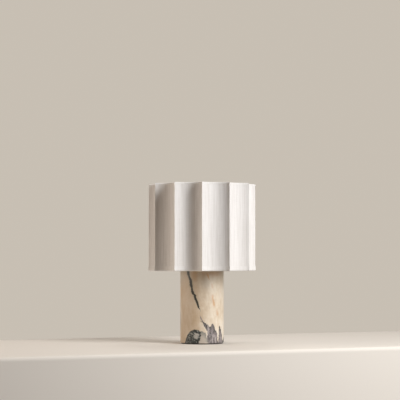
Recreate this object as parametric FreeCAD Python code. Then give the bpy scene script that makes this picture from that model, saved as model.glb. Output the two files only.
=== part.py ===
import FreeCAD, Part
import math
import os
from FreeCAD import Vector

# Column table lamp: a round marble column with a fluted linen drum shade.
# Millimetres. +Z is up, -Y is the front, the origin is on the table under the column's axis.

# Driving dimensions of the whole lamp
TOTAL_HEIGHT = 440.0
COLUMN_DIAMETER = 120.0
COLUMN_TOP_Z = 212.0
FELT_THICKNESS = 2.5

# Shade: a drum of concave flutes that meet in sharp ridges, one of them facing the front
SHADE_HEIGHT = 240.0
RIDGE_RADIUS = 147.5
FLUTES = 12
FLUTE_DEPTH = 19.0
LINEN = 0.8
LINER = 0.5
WIRE = 3.5
WIRE_GAP = 0.05
BINDING = 0.35
TOP_BINDING_HEIGHT = 5.5
BOTTOM_BINDING_HEIGHT = 13.0

# Spider that carries the shade on the lampholder
ARM_AZIMUTHS = (75.0, 195.0, 315.0)
ARM_WIRE = 4.0
ARM_KNEE_RADII = (108.0, 36.0)
ARM_BEND_RADIUS = 14.0
CARRIER_RADIUS = 27.0
CARRIER_BORE_RADIUS = 21.0
CARRIER_THICKNESS = 2.0

# Threaded tube and its fittings, M10 x 1
TUBE_RADIUS = 5.0
TUBE_BORE_RADIUS = 3.5
THREAD_GAP = 0.05
COLUMN_BORE_RADIUS = 5.5
PLATE_RADIUS = 32.0
NUT_POCKET_RADIUS = 21.0
NUT_POCKET_DEPTH = 22.0

# Lampholder for a bulb with a 27 mm screw cap
HOLDER_Z = 222.0
NECK_RADIUS = 8.0
CAP_RADIUS = 20.6
CAP_WALL = 1.4
CAP_HEIGHT = 34.0
SKIRT_RADIUS = 20.0
SKIRT_BORE_RADIUS = 18.6
SKIRT_HEIGHT = 34.0
CERAMIC_RADIUS = 18.4
SHELL_RADIUS = 14.1
SHELL_WALL = 0.5

# Shade rings, which screw on the skirt
RING_Z = 264.0
RING_HEIGHT = 6.0
RING_RADIUS = 25.2
RING_RUNNING_GAP = 0.1
RING_GRIPS = 24
WASHER_THICKNESS = 1.0

# Rotary switch in the lampholder's side, on the right
SWITCH_Z = 247.0
STEM_RADIUS = 2.0
KNOB_RADIUS = 6.5
KNOB_START = 22.5
KNOB_LENGTH = 12.0
KNOB_GRIPS = 10

# Bulb
BULB_TIP_Z = 261.0
BULB_RADIUS = 30.0
BULB_CENTRE_Z = 340.0
BULB_NECK_RADIUS = 12.6
BULB_FLARE_DEGREES = 35.0
GLASS_WALL = 0.8
SCREW_CAP_RADIUS = 13.1

# Cord outlet at the back of the column's foot
OUTLET_Z = 13.0
OUTLET_BORE_RADIUS = 3.6
OUTLET_BODY_RADIUS = 5.4
OUTLET_FLANGE_RADIUS = 7.5

UP = Vector(0, 0, 1)
ORIGIN = Vector(0, 0, 0)
shade_bottom = TOTAL_HEIGHT - SHADE_HEIGHT
column_radius = COLUMN_DIAMETER / 2
os.makedirs("parts", exist_ok=True)


def save(node, shape):
    """Write one sub-part."""
    shape.exportStep("parts/" + node + ".step")


def polar(radius, degrees, z=0.0):
    """The point at a radius and an azimuth round the lamp's axis."""
    angle = math.radians(degrees)
    return Vector(radius * math.cos(angle), radius * math.sin(angle), z)


def disc(radius, bottom, top, bore=0.0):
    """A round plate or tube on the axis, bored when bore isn't zero."""
    body = Part.makeCylinder(radius, top - bottom, Vector(0, 0, bottom))
    if bore:
        body = body.cut(Part.makeCylinder(bore, top - bottom, Vector(0, 0, bottom)))
    return body


def turned(start, *steps):
    """Turn a closed outline of (radius, z) points; a step of two points is an arc's middle and end."""
    here = Vector(start[0], 0, start[1])
    first = here
    edges = []
    for step in steps + (start,):
        if isinstance(step[0], tuple):
            middle = Vector(step[0][0], 0, step[0][1])
            there = Vector(step[1][0], 0, step[1][1])
            edges.append(Part.Arc(here, middle, there).toShape())
        else:
            there = Vector(step[0], 0, step[1])
            if there.isEqual(here, 1e-6):
                continue
            edges.append(Part.LineSegment(here, there).toShape())
        here = there
    assert here.isEqual(first, 1e-6)
    return Part.Face(Part.Wire(edges)).revolve(ORIGIN, UP, 360)


def on_circle(centre, radius, degrees):
    """A point of a circle in the turning plane."""
    angle = math.radians(degrees)
    return (centre[0] + radius * math.cos(angle), centre[1] + radius * math.sin(angle))


def gripped(body, radius, count, depth, bottom, top):
    """Cut a round grip's notches into the edge of a turned piece."""
    notch_radius = 0.32 * 2 * math.pi * radius / count
    cutters = []
    for n in range(count):
        at = polar(radius + notch_radius - depth, 360.0 * n / count, bottom)
        cutters.append(Part.makeCylinder(notch_radius, top - bottom, at))
    return body.cut(Part.makeCompound(cutters))


# The shade's outline
half_flute = math.radians(180.0 / FLUTES)
half_chord = RIDGE_RADIUS * math.sin(half_flute)
flute_radius = (half_chord ** 2 + FLUTE_DEPTH ** 2) / (2 * FLUTE_DEPTH)
flute_centre = RIDGE_RADIUS * math.cos(half_flute) - FLUTE_DEPTH + flute_radius


def ridge_at(inset):
    """How far a ridge is from the axis on the outline that lies inset inside the linen's face."""
    reach = (flute_radius + inset) ** 2 - (flute_centre * math.sin(half_flute)) ** 2
    return flute_centre * math.cos(half_flute) - math.sqrt(reach)


def valley_at(inset):
    """How far the bottom of a flute is from the axis on that outline."""
    return flute_centre - flute_radius - inset


def ridge_azimuth(n):
    """The direction of ridge n; ridge 0 faces the front."""
    return -90.0 + 360.0 * n / FLUTES


def flute_edges(inset, z):
    """The twelve arcs of the outline at a height."""
    edges = []
    for n in range(FLUTES):
        start = polar(ridge_at(inset), ridge_azimuth(n), z)
        middle = polar(valley_at(inset), ridge_azimuth(n + 0.5), z)
        end = polar(ridge_at(inset), ridge_azimuth(n + 1), z)
        edges.append(Part.Arc(start, middle, end).toShape())
    return edges


def fluted_prism(inset, bottom, top):
    """The outline, filled and raised from bottom to top."""
    face = Part.Face(Part.Wire(flute_edges(inset, bottom)))
    return face.extrude(Vector(0, 0, top - bottom))


def fluted_wall(outer_inset, inner_inset, bottom, top):
    """A wall that follows the flutes between two outlines."""
    return fluted_prism(outer_inset, bottom, top).cut(fluted_prism(inner_inset, bottom, top))


# Linen and liner, laminated to each other
linen_inside = LINEN
liner_inside = LINEN + LINER
wire_inset = liner_inside + WIRE_GAP + WIRE / 2
wrap_inside = wire_inset + WIRE / 2 + WIRE_GAP
cloth_bottom = shade_bottom + BINDING
cloth_top = TOTAL_HEIGHT - BINDING
save("shade_cover", fluted_wall(0.0, linen_inside, cloth_bottom, cloth_top))
save("shade_liner", fluted_wall(linen_inside, liner_inside, cloth_bottom, cloth_top))


def fluted_wire(z):
    """A round wire bent along the flutes, welded to a ball at each ridge."""
    pieces = []
    for n in range(FLUTES):
        centre = polar(flute_centre, ridge_azimuth(n + 0.5), z)
        start = polar(ridge_at(wire_inset), ridge_azimuth(n), z)
        end = polar(ridge_at(wire_inset), ridge_azimuth(n + 1), z)
        middle = polar(valley_at(wire_inset), ridge_azimuth(n + 0.5), z)
        path = Part.Wire(Part.Arc(start, middle, end).toShape())
        along = UP.cross(start - centre)
        section = Part.Wire(Part.makeCircle(WIRE / 2, start, along))
        pieces.append(path.makePipeShell([section], True, True))
        pieces.append(Part.makeSphere(WIRE / 2, start))
    return pieces[0].fuse(pieces[1:]).removeSplitter()


bottom_wire_z = cloth_bottom + WIRE_GAP + WIRE / 2
top_wire_z = cloth_top - WIRE_GAP - WIRE / 2
bottom_wire = fluted_wire(bottom_wire_z)
top_wire = bottom_wire.copy()
top_wire.translate(Vector(0, 0, top_wire_z - bottom_wire_z))
save("shade_bottom_wire", bottom_wire)
save("shade_top_wire", top_wire)

# Straight ribs, one in each ridge, butt-welded between the two wires
ribs = []
for n in range(FLUTES):
    foot = polar(ridge_at(wire_inset), ridge_azimuth(n), bottom_wire_z)
    rib = Part.makeCylinder(WIRE / 2 - 0.25, top_wire_z - bottom_wire_z, foot)
    ribs.append(rib.cut(bottom_wire).cut(top_wire).Solids[0])
save("shade_ribs", Part.makeCompound(ribs))


def edge_binding(edge_z, into, height):
    """A linen strip folded over an edge: a leg outside, a lip over the edge and a short leg inside."""

    def wall(outer, inner, reach):
        bottom, top = sorted((edge_z, edge_z + into * reach))
        return fluted_wall(outer, inner, bottom, top)

    lip = wall(-BINDING, wrap_inside + BINDING, BINDING)
    outer_leg = wall(-BINDING, 0.0, height)
    inner_leg = wall(wrap_inside, wrap_inside + BINDING, BINDING + WIRE)
    return lip.fuse([outer_leg, inner_leg]).removeSplitter()


# Spider: a carrier ring on the lampholder and three bent arms down to the bottom wire
washer_z = RING_Z + RING_HEIGHT
carrier_z = washer_z + WASHER_THICKNESS
arm_top_z = carrier_z + CARRIER_THICKNESS / 2
arm_foot_z = bottom_wire_z + (ARM_WIRE - WIRE) / 2


def spider_arm(azimuth):
    """One arm, with its two knees bent to a radius."""
    outer_knee, inner_knee = ARM_KNEE_RADII
    corners = [
        polar(valley_at(wire_inset), azimuth, arm_foot_z),
        polar(outer_knee, azimuth, arm_foot_z),
        polar(inner_knee, azimuth, arm_top_z),
        polar(CARRIER_RADIUS - 0.5, azimuth, arm_top_z),
    ]
    edges = []
    here = corners[0]
    for before, knee, after in zip(corners, corners[1:], corners[2:]):
        back = (before - knee).normalize()
        on = (after - knee).normalize()
        half = back.getAngle(on) / 2
        cut_back = min(ARM_BEND_RADIUS / math.tan(half), 0.8 * (after - knee).Length)
        radius = cut_back * math.tan(half)
        centre = knee + (back + on).normalize() * (radius / math.sin(half))
        bend_start = knee + back * cut_back
        bend_middle = centre + (knee - centre).normalize() * radius
        bend_end = knee + on * cut_back
        edges.append(Part.LineSegment(here, bend_start).toShape())
        edges.append(Part.Arc(bend_start, bend_middle, bend_end).toShape())
        here = bend_end
    edges.append(Part.LineSegment(here, corners[-1]).toShape())
    section = Part.Wire(Part.makeCircle(ARM_WIRE / 2, corners[0], corners[1] - corners[0]))
    arm = Part.Wire(edges).makePipeShell([section], True, True)
    round_ring = disc(CARRIER_RADIUS, arm_top_z - ARM_WIRE, arm_top_z + ARM_WIRE)
    return arm.cut(bottom_wire).cut(round_ring).Solids[0]


arms = Part.makeCompound([spider_arm(azimuth) for azimuth in ARM_AZIMUTHS])
save("spider_arms", arms)
carrier_top = carrier_z + CARRIER_THICKNESS
save("carrier_ring", disc(CARRIER_RADIUS, carrier_z, carrier_top, CARRIER_BORE_RADIUS))
save("shade_bottom_binding", edge_binding(shade_bottom, 1, BOTTOM_BINDING_HEIGHT).cut(arms))
save("shade_top_binding", edge_binding(TOTAL_HEIGHT, -1, TOP_BINDING_HEIGHT))

# Column: bored for the tube, pocketed underneath for the nut, drilled to the back for the cord
pocket_top = FELT_THICKNESS + NUT_POCKET_DEPTH
spot_face_y = column_radius - 1.6
column = disc(column_radius, FELT_THICKNESS, COLUMN_TOP_Z)
rims = [edge for edge in column.Edges if edge.Length > column_radius and len(edge.Vertexes) == 1]
column = column.makeChamfer(0.8, rims)
column = column.cut(disc(COLUMN_BORE_RADIUS, FELT_THICKNESS, COLUMN_TOP_Z))
column = column.cut(disc(NUT_POCKET_RADIUS, FELT_THICKNESS, pocket_top))
outlet = Vector(0, 0, OUTLET_Z)
back = Vector(0, 1, 0)
passage = Part.makeCylinder(OUTLET_BODY_RADIUS + THREAD_GAP, column_radius + 5, outlet, back)
spot = Part.makeCylinder(OUTLET_FLANGE_RADIUS + 0.1, 10, outlet + back * spot_face_y, back)
column = column.cut(passage).cut(spot)
save("marble_column", column)
save("base_felt_pad", disc(column_radius - 3, 0.0, FELT_THICKNESS))

# Cord bushing, pressed into the passage with its flange in the spot face
bushing = Part.makeCylinder(OUTLET_BODY_RADIUS, 14, outlet + back * (spot_face_y - 14), back)
flange = Part.makeCylinder(OUTLET_FLANGE_RADIUS, 3.2, outlet + back * spot_face_y, back)
flange_rims = [edge for edge in flange.Edges if len(edge.Vertexes) == 1]
outer_rim = max(flange_rims, key=lambda edge: edge.CenterOfMass.y)
bushing = bushing.fuse(flange.makeFillet(1.2, [outer_rim])).removeSplitter()
bushing = bushing.cut(Part.makeCylinder(OUTLET_BORE_RADIUS, 30, outlet + back * (spot_face_y - 15), back))
save("cord_outlet_bushing", bushing)

# Tube through the column, clamped by a washer, a toothed lock washer and a nut in the pocket
fit_radius = TUBE_RADIUS + THREAD_GAP
washer_bottom = pocket_top - 2.0
lock_bottom = washer_bottom - 1.0
nut_bottom = lock_bottom - 4.5
save("threaded_tube", disc(TUBE_RADIUS, nut_bottom - 4, HOLDER_Z + 9, TUBE_BORE_RADIUS))
save("bottom_washer", disc(17.0, washer_bottom, pocket_top, fit_radius))
lock_washer = disc(9.0, lock_bottom, washer_bottom, fit_radius)
teeth = []
for n in range(12):
    slot = Part.makeBox(3, 1.2, 2, Vector(6.6, -0.6, lock_bottom - 0.5))
    slot.rotate(ORIGIN, UP, 30.0 * n)
    teeth.append(slot)
save("bottom_lock_washer", lock_washer.cut(Part.makeCompound(teeth)))
hexagon = [polar(14.0 / 2 / math.cos(math.pi / 6), 60.0 * n, nut_bottom) for n in range(7)]
nut = Part.Face(Part.makePolygon(hexagon)).extrude(Vector(0, 0, 4.5))
rounded_corners = turned(
    (0, nut_bottom), (7.2, nut_bottom), (8.2, nut_bottom + 0.7), (8.2, lock_bottom), (0, lock_bottom)
)
nut = nut.common(rounded_corners).cut(disc(fit_radius, nut_bottom, lock_bottom))
save("bottom_nut", nut)

# Brass plate on the column and the spacer that carries the lampholder
plate_top = COLUMN_TOP_Z + 2.0
save(
    "column_top_plate",
    turned(
        (fit_radius, COLUMN_TOP_Z),
        (PLATE_RADIUS, COLUMN_TOP_Z),
        (PLATE_RADIUS, plate_top - 0.8),
        (PLATE_RADIUS - 0.8, plate_top),
        (fit_radius, plate_top),
    ),
)
save(
    "neck_spacer",
    turned(
        (fit_radius, plate_top),
        (11.0, plate_top),
        (11.0, plate_top + 1.2),
        ((8.6, plate_top + 3.0), (7.8, HOLDER_Z)),
        (fit_radius, HOLDER_Z),
    ),
)

# Lampholder cap: threaded neck, domed shoulder and straight wall with a hole for the switch
cap_top = HOLDER_Z + CAP_HEIGHT
shoulder_z = HOLDER_Z + 16
neck_top = HOLDER_Z + 8
cap_inside = CAP_RADIUS - CAP_WALL
cap = turned(
    (fit_radius, HOLDER_Z),
    (NECK_RADIUS, HOLDER_Z),
    (NECK_RADIUS, neck_top),
    ((CAP_RADIUS - 3.6, neck_top + 2.6), (CAP_RADIUS, shoulder_z)),
    (CAP_RADIUS, cap_top),
    (cap_inside, cap_top),
    (cap_inside, shoulder_z),
    ((cap_inside - 3.4, neck_top + 3.8), (NECK_RADIUS - 0.6, neck_top + CAP_WALL)),
    (fit_radius, neck_top + CAP_WALL),
)
side = Vector(1, 0, 0)
switch_axis = Vector(0, 0, SWITCH_Z)
cap = cap.cut(Part.makeCylinder(STEM_RADIUS + 0.4, 30, switch_axis, side))
screw_axis = Vector(0, 0, HOLDER_Z + 4)
cap = cap.cut(Part.makeCylinder(1.5, 12, screw_axis, back))
save("lampholder_cap", cap)
grub = Part.makeCylinder(1.45, 3.0, screw_axis + back * (fit_radius + 0.05), back)
grub = grub.cut(Part.makeBox(4, 0.8, 0.6, Vector(-2, fit_radius + 2.4, screw_axis.z - 0.3)))
save("cap_locking_screw", grub)

# Threaded skirt, which screws into the cap and holds the ceramic down with its lip
skirt_top = cap_top + SKIRT_HEIGHT
save(
    "lampholder_skirt",
    turned(
        (SKIRT_BORE_RADIUS, cap_top - 5),
        (cap_inside - 0.1, cap_top - 5),
        (cap_inside - 0.1, cap_top),
        (SKIRT_RADIUS, cap_top),
        (SKIRT_RADIUS, skirt_top - 0.8),
        (SKIRT_RADIUS - 0.8, skirt_top),
        (15.2, skirt_top),
        (15.2, skirt_top - 1.5),
        (SKIRT_BORE_RADIUS, skirt_top - 1.5),
    ),
)

# Ceramic interior: a block with the switch inside and a sleeve round the screw shell
block_bottom = shoulder_z + 2
floor_z = block_bottom + 18
sleeve_top = skirt_top - 1.7
sleeve_bore = SHELL_RADIUS + 0.15
ceramic = turned(
    (0, block_bottom),
    (CERAMIC_RADIUS - 1, block_bottom),
    (CERAMIC_RADIUS, block_bottom + 1),
    (CERAMIC_RADIUS, sleeve_top),
    (sleeve_bore, sleeve_top),
    (sleeve_bore, floor_z),
    (0, floor_z),
)
ceramic = ceramic.cut(Part.makeCylinder(STEM_RADIUS + 0.1, 30, switch_axis + side * 6, side))
terminal_places = [Vector(0, y, block_bottom) for y in (-11.0, 11.0)]
for place in terminal_places:
    ceramic = ceramic.cut(Part.makeCylinder(3.2, 3.0, place))
save("lampholder_ceramic", ceramic)

terminals = []
for place in terminal_places:
    head = Part.makeCylinder(2.6, 2.4, place + Vector(0, 0, 0.6))
    slot = Part.makeBox(6, 0.7, 0.8, place + Vector(-3, -0.35, 0.2))
    terminals.append(head.cut(slot))
save("terminal_screws", Part.makeCompound(terminals))

save(
    "lampholder_screw_shell",
    turned(
        (9.0, floor_z),
        (SHELL_RADIUS, floor_z),
        (SHELL_RADIUS, sleeve_top - 2),
        (SHELL_RADIUS - SHELL_WALL, sleeve_top - 2),
        (SHELL_RADIUS - SHELL_WALL, floor_z + 0.5),
        (9.0, floor_z + 0.5),
    ),
)
contact_top = BULB_TIP_Z - 0.3
save(
    "centre_contact",
    turned((0, floor_z), (5.5, floor_z), (5.5, floor_z + 0.5), (2.4, contact_top), (0, contact_top)),
)

# Shade rings: notched rims on the skirt's thread, with a fibre washer on the lower one
ring_bore = SKIRT_RADIUS + RING_RUNNING_GAP


def shade_ring(seat_z, away):
    """A ring whose broad flange is at seat_z and whose narrower collar points away from it."""
    far = seat_z + away * RING_HEIGHT
    step = seat_z + away * 3.2
    ring = turned(
        (ring_bore, seat_z),
        (RING_RADIUS, seat_z),
        (RING_RADIUS, step - away * 0.6),
        (RING_RADIUS - 0.6, step),
        (22.6, step),
        (22.6, far - away * 0.5),
        (22.1, far),
        (ring_bore, far),
    )
    return gripped(ring, RING_RADIUS, RING_GRIPS, 0.7, min(seat_z, far), max(seat_z, far))


save("lower_shade_ring", shade_ring(washer_z, -1))
save("upper_shade_ring", shade_ring(carrier_top, 1))
save("seat_washer", disc(RING_RADIUS - 0.4, washer_z, carrier_z, SKIRT_RADIUS + 0.6))

# Switch: a steel stem in the ceramic block and a notched knob pressed on it
stem_length = KNOB_START + KNOB_LENGTH - 3 - 7
stem_start = switch_axis + side * 7
save("switch_stem", Part.makeCylinder(STEM_RADIUS, stem_length, stem_start, side))
knob = turned(
    (0, 0),
    (KNOB_RADIUS, 0),
    (KNOB_RADIUS, KNOB_LENGTH - 2),
    ((KNOB_RADIUS - 0.6, KNOB_LENGTH - 0.6), (KNOB_RADIUS - 2, KNOB_LENGTH)),
    (0, KNOB_LENGTH),
)
knob = gripped(knob, KNOB_RADIUS, KNOB_GRIPS, 0.8, 1.5, KNOB_LENGTH)
knob.rotate(ORIGIN, Vector(0, 1, 0), 90)
knob.translate(switch_axis + side * KNOB_START)
save("switch_knob", knob.cut(Part.makeCylinder(STEM_RADIUS + 0.02, stem_length + 0.02, stem_start, side)))

# Bulb: tip, black glass insulator, screw cap and opal envelope
insulator_top = BULB_TIP_Z + 4.5
screw_top = BULB_TIP_Z + 28
cap_bore = SCREW_CAP_RADIUS - 0.25
save(
    "bulb_tip_contact",
    turned((0, BULB_TIP_Z), (2.8, BULB_TIP_Z), (4.8, BULB_TIP_Z + 1.5), (0, BULB_TIP_Z + 1.5)),
)
save(
    "bulb_cap_insulator",
    turned((0, BULB_TIP_Z + 1.5), (6.0, BULB_TIP_Z + 1.5), (11.0, insulator_top), (0, insulator_top)),
)
save(
    "bulb_screw_cap",
    turned(
        (0, insulator_top),
        (11.2, insulator_top),
        (SCREW_CAP_RADIUS, insulator_top + 2),
        (SCREW_CAP_RADIUS, screw_top),
        (cap_bore, screw_top),
        (cap_bore, insulator_top + 2.3),
        (0, insulator_top + 0.6),
    ),
)


def bulb_outline(inset):
    """The envelope's outline: a straight neck, a flare and a ball, all moved in by inset."""
    ball = BULB_RADIUS - inset
    neck = BULB_NECK_RADIUS - inset
    flare = math.radians(BULB_FLARE_DEGREES)
    ball_foot = on_circle((0, BULB_CENTRE_Z), ball, -BULB_FLARE_DEGREES)
    flare_radius = (ball_foot[0] - neck) / (1 - math.cos(flare))
    flare_centre = (neck + flare_radius, ball_foot[1] - flare_radius * math.sin(flare))
    flare_middle = on_circle(flare_centre, flare_radius, 180 - BULB_FLARE_DEGREES / 2)
    ball_middle = on_circle((0, BULB_CENTRE_Z), ball, 45 - BULB_FLARE_DEGREES / 2)
    foot_z = screw_top - 12
    return turned(
        (0, foot_z),
        (neck, foot_z),
        (neck, flare_centre[1]),
        (flare_middle, ball_foot),
        (ball_middle, (0, BULB_CENTRE_Z + ball)),
    )


save("bulb_glass", bulb_outline(0.0).cut(bulb_outline(GLASS_WALL)))
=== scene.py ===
import bmesh
import bpy
import math
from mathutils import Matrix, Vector


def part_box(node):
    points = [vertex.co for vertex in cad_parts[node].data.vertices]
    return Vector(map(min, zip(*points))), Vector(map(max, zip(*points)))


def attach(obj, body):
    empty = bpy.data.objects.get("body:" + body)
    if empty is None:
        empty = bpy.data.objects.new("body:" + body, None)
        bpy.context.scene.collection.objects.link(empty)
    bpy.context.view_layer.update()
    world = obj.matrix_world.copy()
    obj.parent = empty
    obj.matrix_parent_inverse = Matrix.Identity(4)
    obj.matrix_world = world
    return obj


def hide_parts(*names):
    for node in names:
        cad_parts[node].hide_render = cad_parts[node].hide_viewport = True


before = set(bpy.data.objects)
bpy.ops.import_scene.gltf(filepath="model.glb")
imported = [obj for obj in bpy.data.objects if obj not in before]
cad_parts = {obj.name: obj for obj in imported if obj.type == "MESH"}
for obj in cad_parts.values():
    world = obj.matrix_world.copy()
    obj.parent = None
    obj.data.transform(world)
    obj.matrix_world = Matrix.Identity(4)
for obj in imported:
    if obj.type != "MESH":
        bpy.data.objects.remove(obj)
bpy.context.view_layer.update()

# Camera: an upright lamp seen from the front, level with the lower part of its shade, with a long
# lens. The lens and the tilt place the lamp in the picture where the photograph has it.
PICTURE = 400
EYE = Vector((-0.0056, -4.1, 0.234))
FOCAL_PIXELS = 1479.3
HORIZON_ROW = 258.5
SENSOR = 36.0


def put(name, content):
    """Add an object to the scene."""
    added = bpy.data.objects.new(name, content)
    bpy.context.scene.collection.objects.link(added)
    return added


lens = bpy.data.cameras.new("camera")
lens.sensor_width = SENSOR
lens.lens = FOCAL_PIXELS * SENSOR / PICTURE
tilt = math.atan((HORIZON_ROW - PICTURE / 2) / FOCAL_PIXELS)
camera = put("camera", lens)
camera.location = EYE
camera.rotation_euler = (math.pi / 2 + tilt, 0, 0)
bpy.context.scene.camera = camera

# Felt pad: a disc of dark wool felt under the column, set back so that the marble seems to float.
# It is cut from sheet and glued over the pocket that holds the nut.
MM = 0.001
FIRST_COLOUR, SECOND_COLOUR, MIXED_COLOUR = 6, 7, 2  # sockets of a Mix node


class Term:
    """A socket of a node, which takes part in sums."""

    def __init__(self, graph, socket):
        self.graph = graph
        self.socket = socket

    def sum(self, operation, *terms):
        return self.graph.maths(operation, self, *terms)

    def __add__(self, other):
        return self.sum("ADD", other)

    def __radd__(self, other):
        return self.sum("ADD", other)

    def __sub__(self, other):
        return self.sum("SUBTRACT", other)

    def __rsub__(self, other):
        return self.graph.maths("SUBTRACT", other, self)

    def __mul__(self, other):
        return self.sum("MULTIPLY", other)

    def __rmul__(self, other):
        return self.sum("MULTIPLY", other)

    def __truediv__(self, other):
        return self.sum("DIVIDE", other)

    def __pow__(self, other):
        return self.sum("POWER", other)

    def __abs__(self):
        return self.sum("ABSOLUTE")


class Graph:
    """A node tree that is written as Python expressions."""

    def __init__(self, tree):
        self.tree = tree

    def fill(self, socket, value):
        """Link a term to a socket, or set the socket to a number, a name or a colour."""
        if isinstance(value, Term):
            self.tree.links.new(value.socket, socket)
        else:
            socket.default_value = (*value, 1) if socket.type == "RGBA" else value

    def node(self, kind, settings=None, sockets=None, out=0):
        """Add a node: its settings first, then the values or links of its sockets."""
        made = self.tree.nodes.new(kind)
        for name, value in (settings or {}).items():
            if name == "stops":
                for _ in value[2:]:
                    made.color_ramp.elements.new(0.5)
                for stop, (position, colour) in zip(made.color_ramp.elements, value):
                    stop.position = position
                    stop.color = (*colour, 1)
            elif name == "line":
                line = made.mapping.curves[0]
                for _ in value[2:]:
                    line.points.new(0.5, 0.5)
                for point, location in zip(line.points, value):
                    point.location = location
                made.mapping.update()
            else:
                setattr(made, name, value)
        for name, value in (sockets or {}).items():
            self.fill(made.inputs[name], value)
        return Term(self, made.outputs[out])

    def maths(self, operation, *terms):
        """A sum of one operation."""
        return self.node("ShaderNodeMath", {"operation": operation}, dict(enumerate(terms)))

    def parts(self, vector):
        """The x, y and z of a vector."""
        x = self.node("ShaderNodeSeparateXYZ", None, {0: vector})
        outputs = x.socket.node.outputs
        return x, Term(self, outputs[1]), Term(self, outputs[2])

    def join(self, x, y, z):
        """A vector from three parts."""
        return self.node("ShaderNodeCombineXYZ", None, {0: x, 1: y, 2: z})

    def noise(self, vector, scale, detail=2.0, roughness=0.5):
        """Soft noise from 0 to 1; scale is in cells a metre."""
        sockets = {"Vector": vector, "Scale": scale, "Detail": detail, "Roughness": roughness}
        return self.node("ShaderNodeTexNoise", None, sockets)

    def stretched(self, across, up, pattern, detail, roughness):
        """Noise with cells of one unit across and up, in one of many patterns."""
        vector = self.join(across, up, pattern)
        return self.noise(vector, scale=1.0, detail=detail, roughness=roughness)


class Finish(Graph):
    """A procedural material round one Principled surface."""

    def __init__(self, name, **constants):
        self.material = bpy.data.materials.new(name)
        self.material.use_nodes = True
        super().__init__(self.material.node_tree)
        self.surface = self.tree.nodes["Principled BSDF"]
        for socket, value in constants.items():
            self.feed(socket.replace("_", " "), value)

    def feed(self, socket, value):
        """Give the surface a constant or a varying value."""
        self.fill(self.surface.inputs[socket], value)

    def place(self):
        """Where a point is on the object, in metres."""
        return self.node("ShaderNodeTexCoord", out="Object")

    def grain(self, scale, detail=2.0, roughness=0.5):
        """Noise over the object's own place."""
        return self.noise(self.place(), scale, detail, roughness)

    def ramp(self, term, *stops):
        """Colours along a value."""
        return self.node("ShaderNodeValToRGB", {"stops": stops}, {0: term})

    def tint(self, tone, dark, light):
        """Colour the surface from dark to light as a tone goes from low to high."""
        self.feed("Base Color", self.ramp(tone, (0.3, dark), (0.7, light)))

    def between(self, term, low, high):
        """0 below low, 1 above high and smooth in between."""
        sockets = {"Value": term, "From Min": low, "From Max": high}
        return self.node("ShaderNodeMapRange", {"interpolation_type": "SMOOTHSTEP"}, sockets)

    def mix(self, mask, first, second):
        """The first colour where the mask is 0 and the second where it is 1."""
        sockets = {0: mask, FIRST_COLOUR: first, SECOND_COLOUR: second}
        return self.node("ShaderNodeMix", {"data_type": "RGBA"}, sockets, out=MIXED_COLOUR)

    def bump(self, height, depth):
        """Relief of a depth in metres."""
        relief = self.node("ShaderNodeBump", None, {"Height": height, "Distance": depth})
        self.feed("Normal", relief)


def coat(mesh, finish):
    """Give a mesh one finish."""
    mesh.materials.clear()
    mesh.materials.append(finish.material)


def dress(finish, *nodes):
    """Give CAD nodes their finish."""
    for node in nodes:
        coat(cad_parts[node].data, finish)


felt = Finish("wool_felt", Roughness=1.0)
wool = felt.grain(scale=900, detail=4, roughness=0.7)
felt.tint(wool, (0.035, 0.030, 0.026), (0.085, 0.075, 0.065))
felt.bump(wool, 0.4 * MM)
dress(felt, "base_felt_pad")

# Column: one length of cream marble, turned and honed, with a broken edge top and bottom. A dark
# green-black vein crosses its front, rusty flecks run beside it, and agate-like clouds of grey and
# black rise from its foot. Places on it are (how far round from the front, how high), in mm.
CREAM = ((0.36, (0.585, 0.47, 0.345)), (0.5, (0.695, 0.60, 0.475)), (0.64, (0.785, 0.72, 0.63)))
RUST = (0.56, 0.33, 0.175)
BROWN = (0.42, 0.27, 0.14)
SHADE_UMBER = (0.35, 0.30, 0.24)
AMBER = (0.47, 0.25, 0.10)
OCHRE = (0.62, 0.37, 0.19)
VEIN_DARK = (0.012, 0.016, 0.013)
VEIN_GREY = (0.26, 0.25, 0.22)
INK = (0.016, 0.019, 0.017)
GRAPHITE = (0.070, 0.075, 0.072)
MOSS = (0.20, 0.21, 0.185)
SLATE = (0.11, 0.095, 0.10)
LILAC = (0.24, 0.205, 0.21)
DOVE = (0.34, 0.30, 0.30)
ASH = (0.44, 0.41, 0.37)
BLUSH = (0.475, 0.417, 0.355)

DRIFT_REACH = 6
RAGGED_REACH = 10
LAYERS_ACROSS = 0.10  # cells a mm, as are all rates round the column and up it
LAYERS_UP = 0.03
LAYERS_LEAN = 0.014
CLOUD_SHARE = 0.42
STRATA_SHARE = 0.42
FRECKLE_SHARE = 0.16
column_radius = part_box("marble_column")[1].x
marble = Finish("cream_marble", Roughness=0.36, Specular_IOR_Level=0.45)
place = marble.place()
x, y, z = marble.parts(place)
height = z / MM
drift = marble.noise(place, scale=30, detail=3, roughness=0.6) - 0.5
ragged = marble.noise(place, scale=95, detail=5, roughness=0.75) - 0.5
true_way = marble.maths("ARCTAN2", x, 0 - y) * (column_radius / MM)
round_it = true_way + drift * DRIFT_REACH + ragged * RAGGED_REACH
layers_x = x / MM * LAYERS_ACROSS + height * LAYERS_LEAN
layers = marble.join(layers_x, y / MM * LAYERS_ACROSS, height * LAYERS_UP)
strata = marble.noise(layers, scale=1.0, detail=4, roughness=0.65)
clouds = marble.noise(place, scale=17, detail=4, roughness=0.6)
freckles = marble.noise(place, scale=210, detail=4, roughness=0.75)
cream_tone = clouds * CLOUD_SHARE + strata * STRATA_SHARE + freckles * FRECKLE_SHARE
colour = marble.ramp(cream_tone, *CREAM)
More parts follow.
